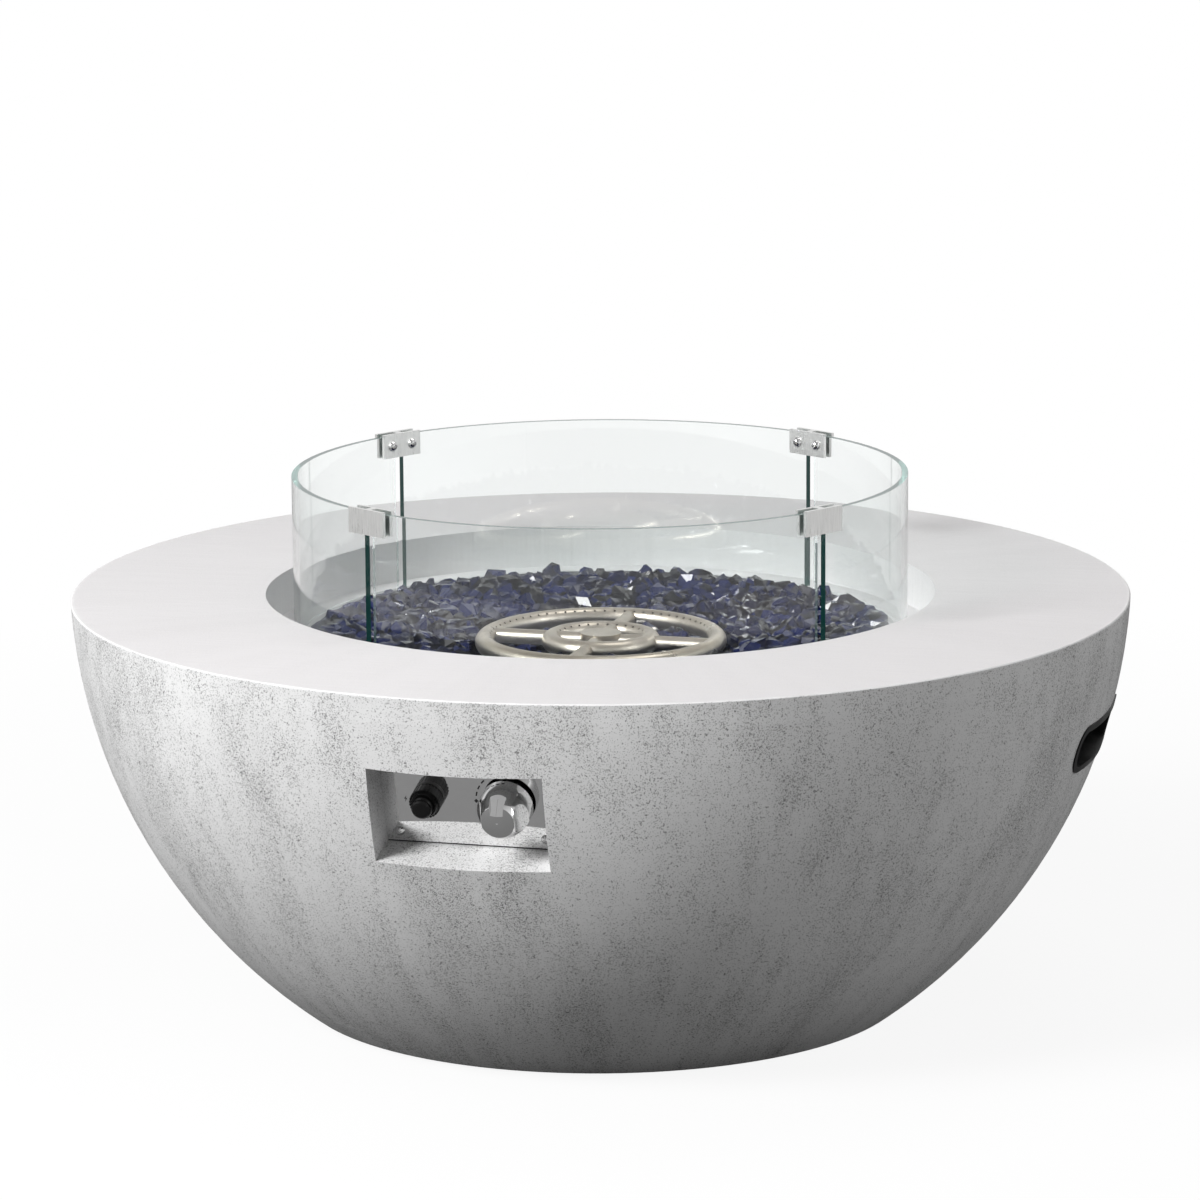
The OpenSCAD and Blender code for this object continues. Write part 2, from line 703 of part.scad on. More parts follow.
module valve_body() {
    color("darkkhaki") at_knob() difference() {
        union() {
            translate([0, 0, valve_back]) cylinder(d = valve_d, h = valve_l);
            translate([0, 0, panel_back - 6]) intersection() {
                cylinder(d = valve_d + 4, h = 6);
                linear_extrude(6) square([valve_d + 4, valve_d - 4], center = true);
            }
            translate([0, 0, panel_back - 1]) cylinder(d = valve_neck_d, h = neck_front - panel_back + 1);
            // outlet to the burner, inlet from below, sensor port at the side
            translate([0, 0, valve_back - port_l]) cylinder(d = hose_d, h = port_l + 1);
            translate([0, 0, valve_back - 8]) hex(17, 8);
            translate([0, 0, port_s]) rotate([90, 0, 0]) cylinder(d = hose_d, h = valve_d / 2 + port_l);
            translate([0, -valve_d / 2 + 2, port_s]) rotate([90, 0, 0]) hex(17, 10);
            translate([0, 0, port_s]) rotate([0, 90, 0]) hex(10, valve_d / 2 + 9);
        }
        translate([0, 0, plug_front - plug_l - 1]) cylinder(d = plug_d + 2 * run, h = plug_l + 1);
        translate([0, 0, plug_front - 1]) cylinder(d = spindle_d + 2 * loose, h = -plug_front);
        translate([0, 0, valve_back - port_l - 1]) cylinder(d = 6, h = port_l + 10, $fn = 24);
        translate([0, -valve_d / 2, port_s]) rotate([90, 0, 0]) cylinder(d = 6, h = port_l + 1, $fn = 24);
    }
}

module valve_nut() {
    color("silver") at_knob() translate([0, 0, -recess_depth])
        hex_nut(valve_neck_d + 8, valve_neck_d + 2 * loose, valve_nut_t);
}

// Rotor that the spindle turns and slides in
module valve_plug() {
    color("goldenrod") at_knob() difference() {
        translate([0, 0, plug_front - plug_l]) cylinder(d = plug_d, h = plug_l - gap);
        translate([0, 0, spindle_back - knob_push - 1]) cylinder(d = spindle_d + 2 * run, h = 60);
        translate([0, 0, plug_front - plug_l - 1]) cylinder(d = 5, h = 10, $fn = 24);
    }
}

// Round with one flat, so that it turns the knob
module d_shape(d, grow = 0) {
    intersection() {
        circle(d = d + 2 * grow, $fn = 48);
        translate([-d, -d]) square([2 * d, d + flat_at + grow]);
    }
}

module valve_spindle() {
    color("lightgray") at_knob() difference() {
        translate([0, 0, spindle_back]) cylinder(d = spindle_d, h = spindle_front - spindle_back);
        translate([-spindle_d, flat_at, neck_front])
            cube([2 * spindle_d, spindle_d, spindle_front - neck_front + 1]);
    }
}

// Round domed knob: a hollow at each side for the fingers, a ramp with the pointer line on top
knob_l = knob_front - knob_back;
knob_skirt = 8;
knob_hollow = 8;
scoop_r = knob_d * 0.43;
ramp_angle = 40;
boss_back = neck_front + knob_push + 0.5;

module knob_outline() {
    side_arc = knob_d * 0.78;
    front_arc = knob_d * 1.3;
    intersection() {
        union() {
            square([knob_d / 2, knob_skirt]);
            translate([knob_d / 2 - side_arc, knob_skirt]) circle(r = side_arc, $fn = 160);
        }
        translate([0, knob_l - front_arc]) circle(r = front_arc, $fn = 200);
        square([knob_d, knob_l]);
    }
}

module control_knob() {
    color("whitesmoke") at_knob() difference() {
        union() {
            translate([0, 0, knob_back]) difference() {
                rotate_extrude($fn = 96) knob_outline();
                for (x = [-1, 1]) translate([x * (grip_w / 2 + scoop_r), 0, knob_l * 0.3 + scoop_r])
                    rotate([90, 0, 0]) cylinder(r = scoop_r, h = 2 * knob_d, center = true, $fn = 96);
                translate([0, knob_d * 0.13, knob_l]) rotate([-ramp_angle, 0, 0]) {
                    linear_extrude(knob_l)
                        polygon([[-6, 0], [6, 0], [8.5, knob_d / 2], [-8.5, knob_d / 2]]);
                    translate([-0.6, 1.5, -0.8]) cube([1.2, knob_d * 0.3, 3]);
                }
                translate([0, 0, -1]) cylinder(d = knob_d - 6, h = knob_hollow + 1);
            }
            translate([0, 0, boss_back])
                cylinder(d = spindle_d + 7, h = knob_back + knob_hollow + 1 - boss_back);
        }
        translate([0, 0, neck_front]) linear_extrude(spindle_front - neck_front + gap)
            d_shape(spindle_d, loose);
    }
}

// ---------------------------------------------------------------- igniter
flange_front = -recess_depth + 2.5;
thread_front = flange_front + 7.5;
thread_d = barrel_d + 2;
collar_back = flange_front + gap;
collar_front = collar_back + collar_l;
lip_t = 2;
button_back = thread_front + button_push + 1;
button_flange_d = thread_d - 0.4;
button_front = -recess_depth + button_reach;
cell_bore_d = cell_d + 0.6;
tail = panel_back - barrel_l;
cell_spring_l = 7;
cell_back = tail + 3 + cell_spring_l;
return_bore = button_back + 8;

module at_igniter() {
    at_wall(0, recess_z) translate([-igniter_x, igniter_y, 0]) children();
}

module igniter_housing() {
    color([0.12, 0.12, 0.12]) at_igniter() difference() {
        union() {
            translate([0, 0, tail]) cylinder(d = barrel_d, h = -recess_depth - tail);
            translate([0, 0, -recess_depth]) cylinder(d = collar_d, h = flange_front + recess_depth);
            translate([0, 0, flange_front - 1]) cylinder(d = thread_d, h = thread_front - flange_front + 1);
            translate([0, 0, tail - 8]) cylinder(d = 8, h = 9, $fn = 32);
        }
        translate([0, 0, tail + 3]) cylinder(d = cell_bore_d, h = thread_front - tail);
    }
}

module igniter_nut() {
    nut_t = 5;
    color([0.2, 0.2, 0.2]) at_igniter() translate([0, 0, panel_back - nut_t])
        hex_nut(barrel_d + 8, barrel_d + 2 * loose, nut_t);
}

// Knurled collar that screws on the housing and keeps the button in
module igniter_collar() {
    ribs = 28;
    rib_gap = 1.9;
    band_l = collar_l - 3.5;
    color([0.05, 0.05, 0.05]) at_igniter() translate([0, 0, collar_back]) difference() {
        union() {
            linear_extrude(band_l) difference() {
                circle(d = collar_d, $fn = 96);
                for (i = [0:ribs - 1]) rotate(360 * i / ribs) translate([collar_d / 2 + 0.2, 0])
                    circle(d = rib_gap, $fn = 16);
            }
            translate([0, 0, band_l - 0.5])
                cylinder(d1 = collar_d - 2, d2 = collar_d - 6, h = collar_l - band_l + 0.5);
        }
        translate([0, 0, -1]) cylinder(d = thread_d + 2 * gap, h = collar_l - lip_t + 1);
        cylinder(d = button_d + 2 * gap, h = collar_l + 1);
    }
}

module igniter_button() {
    r = button_d / 2;
    groove = 0.6;
    f = collar_front - lip_t - gap;
    color([0.03, 0.03, 0.03]) at_igniter() difference() {
        rotate_extrude($fn = 96) polygon([
            [0, button_back], [button_flange_d / 2, button_back], [button_flange_d / 2, f], [r, f],
            [r, button_front - 6.6], [r - groove, button_front - 6.2], [r - groove, button_front - 5.4],
            [r, button_front - 5], [r, button_front - 3], [r - 0.6, button_front - 1.4],
            [r - 2.2, button_front - 0.4], [r - 4.5, button_front], [0, button_front]]);
        translate([0, 0, button_back - 1]) cylinder(d = 15, h = return_bore - button_back + 1);
    }
}

// Drawn at its pressed length, on the housing
module button_spring() {
    color("silver") at_igniter() translate([0, 0, thread_front])
        coil(14, 0.9, 4, return_bore - thread_front - button_push - 0.5);
}

module igniter_cell() {
    color("seagreen") at_igniter() translate([0, 0, cell_back]) {
        cylinder(d = cell_d, h = cell_l - 1);
        cylinder(d = 3.6, h = cell_l, $fn = 32);
    }
}

module cell_spring() {
    color("silver") at_igniter() translate([0, 0, tail + 3]) coil(8, 0.8, 4, cell_spring_l);
}

// ---------------------------------------------------------------- spark and flame sensing
probe_top_z = burner_z + 4;
probe_low_z = pan_floor_z - pan_t - 14;
bracket_plate_z = pan_floor_z + 12;
probe_stem_d = probe_d - 1.5;

module spark_electrode() {
    color("ivory") translate([-sensor_x, sensor_y, 0]) {
        translate([0, 0, probe_low_z])
            cylinder(d = probe_stem_d, h = probe_top_z - 8 - probe_low_z, $fn = 32);
        translate([0, 0, bracket_plate_z + pan_t]) cylinder(d = probe_d + 2, h = 4, $fn = 32);
        translate([0, 0, probe_top_z - 9]) cylinder(d = 2.2, h = 14, $fn = 24);
    }
}

module flame_sensor() {
    color("darkgray") translate([sensor_x, sensor_y, 0]) {
        translate([0, 0, probe_low_z])
            cylinder(d = probe_stem_d, h = probe_top_z - 6 - probe_low_z, $fn = 32);
        translate([0, 0, bracket_plate_z + pan_t]) cylinder(d = probe_d + 2, h = 4, $fn = 32);
        translate([0, 0, probe_top_z - 6]) sphere(d = probe_stem_d, $fn = 32);
    }
}

// Bent steel bracket on the pan's floor that holds both probes
module sensor_bracket() {
    w = 2 * sensor_x + 20;
    leg_h = bracket_plate_z - pan_floor_z + pan_t;
    color("silver") translate([0, sensor_y, 0]) difference() {
        union() {
            translate([-w / 2, -9, bracket_plate_z]) cube([w, 18, pan_t]);
            for (x = [-w / 2, w / 2 - pan_t]) translate([x, -9, pan_floor_z]) cube([pan_t, 18, leg_h]);
        }
        for (x = [-1, 1]) translate([x * sensor_x, 0, bracket_plate_z - over])
            cylinder(d = probe_stem_d + 2 * loose, h = pan_t + 2 * over, $fn = 32);
    }
}

// ---------------------------------------------------------------- gas lines and wires
inwards = front_dir([0, 0, -1]);
downwards = front_dir([0, -1, 0]);
sidewards = front_dir([1, 0, 0]);
wire_d = 3;
bracket_w = 64;
bracket_t = 3;
bracket_y = sqrt(pow(base_hole_d / 2, 2) - pow(bracket_w / 2, 2)) - gap;
barb_l = 18;
fitting_back = bracket_y - bracket_t - barb_l;
// How far a wire or hose runs straight out of its port before it bends
short_reach = 0.056 * bowl_d;
sensor_reach = 0.032 * bowl_d;
igniter_reach = 0.06 * bowl_d;
hose_reach = 0.169 * bowl_d;
burner_reach = 0.1875 * bowl_d;
inlet_reach = 0.244 * bowl_d;

module igniter_wire() {
    a = front_point([-igniter_x, igniter_y, tail - 8]);
    b = [-sensor_x, sensor_y, probe_low_z];
    color([0.25, 0.05, 0.05])
        tube_along(route(a, inwards, short_reach, b, [0, 0, -1], igniter_reach, 20), wire_d, 6, [1, 0, 0],
            inwards, [0, 0, 1]);
}

module sensor_lead() {
    a = front_point([knob_x + valve_d / 2 + 9, 0, port_s]);
    b = [sensor_x, sensor_y, probe_low_z];
    leave = unit(sidewards + inwards);
    color("peru") tube_along(route(a, leave, short_reach, b, [0, 0, -1], sensor_reach, 20), wire_d, 6,
        [0, 1, 0.2], sidewards, [0, 0, 1]);
}

module burner_hose() {
    a = front_point([knob_x, 0, valve_back - port_l]);
    b = [0, -elbow_reach, elbow_z];
    color("gray") tube_along(route(a, inwards, short_reach, b, [0, -1, 0], burner_reach, 28), hose_d, 8,
        [1, 0, 0], inwards, [0, 1, 0]);
}

module inlet_hose() {
    a = front_point([knob_x, -valve_d / 2 - port_l, port_s]);
    b = [0, fitting_back, notch_z];
    color([0.2, 0.2, 0.2])
        tube_along(route(a, downwards, hose_reach, b, [0, -1, 0], inlet_reach, 36), hose_d, 8, [1, 0, 0],
            downwards, [0, 1, 0]);
}

// ---------------------------------------------------------------- gas inlet
module at_bracket_screws() {
    for (x = [-1, 1])
        translate([x * (bracket_w / 2 - 10), base_hole_d / 2 + 14, foot_h + base_t]) children();
}

module inlet_bracket() {
    color("silver") difference() {
        union() {
            translate([-bracket_w / 2, bracket_y - bracket_t, foot_h + 1])
                cube([bracket_w, bracket_t, base_t - 1 + bracket_t]);
            translate([-bracket_w / 2, bracket_y - bracket_t, foot_h + base_t])
                cube([bracket_w, base_hole_d / 2 + 24 - bracket_y + bracket_t, bracket_t]);
        }
        translate([0, bracket_y - bracket_t - 1, notch_z]) rotate([-90, 0, 0])
            cylinder(d = flare_d + 2 * loose, h = bracket_t + 2);
        at_bracket_screws() cylinder(d = 5 + 2 * loose, h = 3 * bracket_t, center = true, $fn = 32);
    }
}

module bracket_screws() {
    color("darkgray") at_bracket_screws() translate([0, 0, bracket_t])
        dome_screw(9, 3.2, 5, bracket_t, 3, $fn = 32);
}

module inlet_fitting() {
    color("gold") translate([0, bracket_y, notch_z]) rotate([-90, 0, 0]) difference() {
        union() {
            hex(flare_d + 5, 8);
            cylinder(d = flare_d, h = 8 + flare_l);
            translate([0, 0, -bracket_t - 10]) cylinder(d = flare_d, h = bracket_t + 11);
            translate([0, 0, -bracket_t - barb_l]) cylinder(d = hose_d, h = barb_l);
        }
        translate([0, 0, -bracket_t - barb_l - over]) cylinder(d = 7, h = 60, $fn = 32);
    }
}

module inlet_nut() {
    color("goldenrod") translate([0, bracket_y - bracket_t, notch_z]) rotate([90, 0, 0])
        hex_nut(flare_d + 8, flare_d + 2 * loose, 6);
}

bowl_tabletop();
bowl_side();
bowl_base();
foot_pads();
hand_cup(-90);  // hand_cup_left
hand_cup(90);  // hand_cup_right
burner_pan();
burner();
burner_locknut();
air_mixer();
orifice_elbow();
fire_glass();
glass_panel(1);  // glass_panel_1
glass_panel(2);  // glass_panel_2
glass_panel(3);  // glass_panel_3
glass_panel(4);  // glass_panel_4
guard_clip(1);  // guard_clip_1
guard_clip(2);  // guard_clip_2
guard_clip(3);  // guard_clip_3
guard_clip(4);  // guard_clip_4
clip_screws();
control_panel();
panel_screws();
valve_body();
valve_nut();
valve_plug();
valve_spindle();
control_knob();
igniter_housing();
igniter_nut();
igniter_collar();
igniter_button();
button_spring();
igniter_cell();
cell_spring();
spark_electrode();
flame_sensor();
sensor_bracket();
igniter_wire();
sensor_lead();
burner_hose();
inlet_hose();
inlet_bracket();
bracket_screws();
inlet_fitting();
inlet_nut();
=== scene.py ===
# %% [markdown]
# # A cast fire bowl with a glass wind guard
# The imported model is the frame: every solid of it already stands where it belongs, in metres, with
# the floor at z = 0 and the controls on the -Y side. This notebook only dresses it. It could also
# be modelled again from nothing, but then the looks and the working parts would drift apart.

import math
import random

import bpy
from mathutils import Matrix, Vector


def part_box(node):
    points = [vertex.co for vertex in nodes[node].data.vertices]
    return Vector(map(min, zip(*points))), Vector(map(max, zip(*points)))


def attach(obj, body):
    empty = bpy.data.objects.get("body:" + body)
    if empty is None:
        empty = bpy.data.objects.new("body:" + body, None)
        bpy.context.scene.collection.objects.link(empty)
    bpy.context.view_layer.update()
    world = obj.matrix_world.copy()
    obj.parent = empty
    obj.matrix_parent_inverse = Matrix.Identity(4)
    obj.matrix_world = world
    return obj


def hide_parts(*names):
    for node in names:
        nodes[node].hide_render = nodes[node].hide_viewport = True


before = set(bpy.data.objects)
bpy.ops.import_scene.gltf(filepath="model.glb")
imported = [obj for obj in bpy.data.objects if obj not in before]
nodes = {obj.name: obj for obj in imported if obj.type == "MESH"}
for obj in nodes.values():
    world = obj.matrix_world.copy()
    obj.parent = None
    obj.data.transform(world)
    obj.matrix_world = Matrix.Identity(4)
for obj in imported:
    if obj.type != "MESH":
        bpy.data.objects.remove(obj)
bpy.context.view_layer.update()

# %% [markdown]
# ## Camera
# The picture was taken with a long lens from the front and a little to the right, so the bowl's rim
# is a flat ellipse and verticals barely converge. A camera can be aimed by angles or at a point. A
# point is easier to read, so the camera gets a place, a point to look at and a small roll.

# %% Camera
CAMERA_PLACE = Vector((1.410, -5.1363, 1.5066))
CAMERA_TARGET = Vector((0.0093, -0.0363, 0.4164))
CAMERA_LENS = 161.3
CAMERA_ROLL = math.radians(-0.394)
FILM_WIDTH = 36
FAR_CLIP = 60

camera_data = bpy.data.cameras.new("camera")
camera_data.lens = CAMERA_LENS
camera_data.sensor_width = FILM_WIDTH
camera_data.clip_end = FAR_CLIP
camera = bpy.data.objects.new("camera", camera_data)
bpy.context.scene.collection.objects.link(camera)
aim = (CAMERA_TARGET - CAMERA_PLACE).to_track_quat("-Z", "Y")
camera.rotation_mode = "QUATERNION"
camera.rotation_quaternion = aim @ Matrix.Rotation(CAMERA_ROLL, 3, "Z").to_quaternion()
camera.location = CAMERA_PLACE
bpy.context.scene.camera = camera
bpy.context.scene.view_settings.view_transform = "Standard"
print("camera", round((CAMERA_TARGET - CAMERA_PLACE).length, 3), "m away")

# %% [markdown]
# ## A small class for shader maths
# A material is a graph of nodes, and building one by hand takes many lines for a short sum. The
# class wraps one socket: `a * 0.5 + b` then adds the Math nodes, `1 - mask` works too, and `node`
# adds any other node from its type, its settings and what goes into its sockets.

# %% Sockets with Python's own operators
class Wire:
    """One output socket of a material, to be used in sums."""

    def __init__(self, socket):
        self.socket = socket
        self.tree = socket.id_data

    def node(self, kind, settings, inputs, output=0):
        """Adds a node: its settings come first, then the values or wires of its sockets."""
        made = self.tree.nodes.new(kind)
        for name, value in settings.items():
            setattr(made, name, value)
        for name, value in inputs.items():
            if isinstance(value, Wire):
                self.tree.links.new(value.socket, made.inputs[name])
            else:
                made.inputs[name].default_value = value
        return Wire(made.outputs[output])

    def math(self, operation, first, second=0.0):
        return self.node("ShaderNodeMath", {"operation": operation}, {0: first, 1: second})

    def __add__(self, other):
        return self.math("ADD", self, other)

    def __sub__(self, other):
        return self.math("SUBTRACT", self, other)

    def __rsub__(self, other):
        return self.math("SUBTRACT", other, self)

    def __mul__(self, other):
        return self.math("MULTIPLY", self, other)

    def __truediv__(self, other):
        return self.math("DIVIDE", self, other)

    def __rtruediv__(self, other):
        return self.math("DIVIDE", other, self)

    def __gt__(self, other):
        return self.math("GREATER_THAN", self, other)

    def __lt__(self, other):
        return self.math("LESS_THAN", self, other)

    def __abs__(self):
        return self.math("ABSOLUTE", self)

    __radd__ = __add__
    __rmul__ = __mul__


# %% [markdown]
# ## Starting a finish
# Every finish starts in the same way: a Principled shader, and the object coordinates, which are
# metres in the frame because every piece's object stands at the origin. Generated coordinates would
# stretch with each piece, so a grain would be coarse on a big piece and fine on a small one.

# %% A new finish
def new_finish(name, colour, roughness, metallic=0.0, **plain):
    """A material, its shader and its object coordinates. plain holds the shader's other values."""
    material = bpy.data.materials.new(name)
    material.use_nodes = True
    shader = material.node_tree.nodes["Principled BSDF"]
    shader.inputs["Base Color"].default_value = (*colour, 1)
    shader.inputs["Roughness"].default_value = roughness
    shader.inputs["Metallic"].default_value = metallic
    for socket, value in plain.items():
        shader.inputs[socket.replace("_", " ")].default_value = value
    place = Wire(material.node_tree.nodes.new("ShaderNodeTexCoord").outputs["Object"])
    return material, shader, place


def feed(shader, socket, wire):
    """Links a wire to one of the shader's sockets."""
    wire.tree.links.new(wire.socket, shader.inputs[socket])


def axes(place):
    """The x, y and z of a vector."""
    split = place.node("ShaderNodeSeparateXYZ", {}, {0: place})
    return [Wire(split.socket.node.outputs[i]) for i in range(3)]


def distance(x, y):
    """How far a place is from the z axis."""
    return x.math("SQRT", x * x + y * y)


def noise(place, scale, detail=2.0, rough=0.5, stretch=(1, 1, 1)):
    """Soft noise from 0 to 1: scale is spots per metre, stretch makes them finer along an axis."""
    scaled = place.node("ShaderNodeVectorMath", {"operation": "MULTIPLY"}, {0: place, 1: stretch})
    return place.node("ShaderNodeTexNoise", {}, {"Vector": scaled, "Scale": scale, "Detail": detail,
                                                 "Roughness": rough})


def between(value, low, high, start=0.0, end=1.0):
    """Start at low and below, end at high and above, and a straight ramp between them."""
    return value.node("ShaderNodeMapRange", {"clamp": True},
                      {0: value, 1: low, 2: high, 3: start, 4: end})


def mix(factor, first, second):
    """A colour from first at 0 to second at 1. Sockets 6, 7 and 2 are the node's colour ones."""
    colours = [c if isinstance(c, Wire) else (*c, 1) for c in (first, second)]
    return factor.node("ShaderNodeMix", {"data_type": "RGBA"},
                       {0: factor, 6: colours[0], 7: colours[1]}, output=2)


def bump(shader, height, strength, depth):
    """Makes a height between 0 and 1 stand out by depth metres in the light."""
    dents = {"Strength": strength, "Distance": depth, "Height": height}
    feed(shader, "Normal", height.node("ShaderNodeBump", {}, dents))


def dress(material, *names):
    """Gives a finish to solids of the frame."""
    for name in names:
        for slot in nodes[name].material_slots:
            slot.material = material
    print(material.name, "on", len(names), "solids")


# %% [markdown]
# ## Cast concrete
# The bowl is fine cast concrete, pale and matt. On its side, dark specks gather in loose clusters
# that run down it in soft streaks, where the mould's release oil ran. The tabletop was ground: it
# is paler, nearly free of specks and has faint straight grinding lines. One material can do both,
# if masks made from the place on the bowl choose between them.

# %% Where the bowl is ground
CASTING = [name for name in nodes if name.startswith("bowl_")]
TOP_Z = max(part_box(name)[1].z for name in CASTING)
RIM_R = max(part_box(name)[1].x for name in CASTING)
OPENING_R = 0.338
OPENING_LOW = 0.36
SKIM_LOW, SKIM_HIGH = TOP_Z - 0.0012, TOP_Z - 0.0004

concrete, shader, place = new_finish("cast_concrete", (0.6, 0.6, 0.6), 0.75)
x, y, z = axes(place)
radius = distance(x, y)
is_top = between(z, SKIM_LOW, SKIM_HIGH)
is_inside = (radius < OPENING_R + 0.001) * (z > OPENING_LOW)
ground = place.math("MAXIMUM", is_top, is_inside)
print("concrete on", len(CASTING), "rings, ground at z =", TOP_Z, "and inside r =", OPENING_R)

# %% [markdown]
# The specks are fine noise, of which only the peaks are kept. Scattered dots from a Voronoi texture
# would all be alike and evenly spread. Adding a soft density map lifts more peaks over the
# threshold in some places than in others, so the specks come in clusters. The larger patterns are
# laid out by the direction from the middle and the height, so they run down the side and narrow
# with it.

# %% Specks and streaks
turned = place.node("ShaderNodeCombineXYZ", {}, {0: x / radius, 1: y / radius, 2: z})
clouds = noise(turned, 2.2, 4.0, 0.55, (0.6, 0.6, 0.9))
blotches = between(noise(turned, 9.0, 6.0, 0.62, (0.55, 0.55, 0.42)), 0.44, 0.68)
patches = between(noise(turned, 34.0, 4.0, 0.68, (0.5, 0.5, 0.5)), 0.40, 0.64)
density = blotches * 0.5 + patches * 0.5
streaks = noise(place, 5.0, 3.0, 0.5, (1, 1, 110))
grains = noise(place, 720.0, 1.0, 0.6)
pits = noise(place, 380.0, 1.0, 0.6)
specks = between(grains + density * 0.18, 0.63, 0.68)
large = between(pits + density * 0.09, 0.68, 0.72)
dark = place.math("MINIMUM", specks * 0.54 + large * 0.64, 0.92)
print("concrete nodes so far:", len(concrete.node_tree.nodes))

# %% Greys of the side and the tabletop
SIDE_GREYS = (0.60, 0.60, 0.60), (0.70, 0.70, 0.70)
CLUSTER_GREY = (0.40, 0.40, 0.40)
STREAK_GREY = (0.45, 0.45, 0.455)
SPECK_GREY = (0.11, 0.11, 0.11)
TOP_GREYS = (0.635, 0.62, 0.625), (0.69, 0.675, 0.68)
TOP_CLOUD_GREY = (0.58, 0.565, 0.57)
TOP_SPECK_GREY = (0.3, 0.29, 0.29)
# Pale grey for the rim's edge: partly wear, partly a painted highlight.
WEAR_AND_HIGHLIGHT_GREY = (0.80, 0.80, 0.80)
RIM_BAND_LOW = TOP_Z - 0.0028

side = mix(between(clouds, 0.3, 0.7), *SIDE_GREYS)
side = mix(blotches * 0.26, side, CLUSTER_GREY)
side = mix(between(streaks, 0.35, 0.65, 0.0, 0.10), side, STREAK_GREY)
side = mix(dark, side, SPECK_GREY)
lines = noise(place, 12.0, 4.0, 0.6, (1, 60, 1))
top = mix(between(lines, 0.3, 0.7), *TOP_GREYS)
top = mix(between(clouds, 0.4, 0.75, 0.0, 0.35), top, TOP_CLOUD_GREY)
top = mix(specks * 0.10, top, TOP_SPECK_GREY)
# A thin paler band along the rim's edge is partly wear and partly a painted highlight, where the
# edge catches the light.
edge = between(z, RIM_BAND_LOW, SKIM_LOW) * between(radius, RIM_R - 0.004, RIM_R - 0.002)
wear_and_highlight = edge * between(noise(place, 30.0, 2.0), 0.35, 0.6, 0.1, 0.42)
finish = mix(wear_and_highlight, mix(ground, side, top), WEAR_AND_HIGHLIGHT_GREY)
feed(shader, "Base Color", finish)
feed(shader, "Roughness", between(grains, 0.3, 0.7, 0.66, 0.84))
bump(shader, grains * 0.4 - dark * 0.7 + noise(place, 60.0, 3.0) * 0.3, 0.35, 0.0006)
dress(concrete, *CASTING)

# %% [markdown]
# ## Black plastics and rubber
# The hand-hold cups are moulded black plastic with a shine, the igniter's barrel and nut are
# duller, and the pads are rubber. Moulded plastic is never perfectly even: a little noise in the
# roughness and a fine grain in the bump are enough.

# %% Plastics and rubber
def moulded(name, colour, smooth, rough, grain, depth, **plain):
    """A moulded surface whose shine varies between two roughnesses."""
    material, shader, place = new_finish(name, colour, smooth, **plain)
    patches = noise(place, 35.0, 3.0)
    fine = noise(place, grain, 2.0)
    tint = mix(between(patches, 0.3, 0.7), colour, [c * 1.5 + 0.002 for c in colour])
    feed(shader, "Base Color", tint)
    feed(shader, "Roughness", between(patches, 0.35, 0.65, smooth, rough))
    bump(shader, fine, 0.25, depth)
    return material


cup_plastic = moulded("cup_plastic", (0.003, 0.003, 0.003), smooth=0.30, rough=0.44,
                      grain=900.0, depth=0.0002, Specular_IOR_Level=0.2)
igniter_plastic = moulded("igniter_plastic", (0.002, 0.002, 0.002), smooth=0.10, rough=0.20,
                          grain=1200.0, depth=0.0001, Specular_IOR_Level=0.3)
barrel_plastic = moulded("barrel_plastic", (0.02, 0.02, 0.02), smooth=0.42, rough=0.55,
                         grain=900.0, depth=0.0002)
pad_rubber = moulded("pad_rubber", (0.018, 0.018, 0.018), smooth=0.68, rough=0.85,
                     grain=500.0, depth=0.0004)
dress(cup_plastic, "hand_cup_left", "hand_cup_right")
dress(igniter_plastic, "igniter_collar", "igniter_button")
dress(barrel_plastic, "igniter_housing", "igniter_nut")
dress(pad_rubber, "foot_pads")

# %% [markdown]
# ## Metals
# Brushed steel shows fine lines along one direction, which blur its reflections more across than
# along. The lines are noise that is stretched along the brushing, fed into roughness, a touch of
# colour and bump. Chrome and mirror sheet get almost no texture, only faint smudges, because what
# they show is the room.

# %% Brushed and bright metals
def brushed(name, colour, smooth, rough, along, scale):
    """Brushed metal. along is how fine the noise is on each axis: least along the lines."""
    material, shader, place = new_finish(name, colour, smooth, 1.0)
    lines = noise(place, scale, 3.0, 0.6, along)
    smudge = noise(place, 25.0, 3.0)
    darker, paler = [c * 0.88 for c in colour], [min(c * 1.06, 1) for c in colour]
    feed(shader, "Base Color", mix(between(lines, 0.3, 0.7), darker, paler))
    feed(shader, "Roughness", between(lines * 0.6 + smudge * 0.4, 0.3, 0.7, smooth, rough))
    bump(shader, lines, 0.18, 0.0001)
    return material


def bright(name, colour, smooth, rough):
    """Polished metal with faint smudges."""
    material, shader, place = new_finish(name, colour, smooth, 1.0)
    smudge = noise(place, 45.0, 4.0, 0.6)
    feed(shader, "Base Color", mix(between(smudge, 0.3, 0.7), [c * 0.95 for c in colour], colour))
    feed(shader, "Roughness", between(smudge, 0.4, 0.7, smooth, rough))
    return material


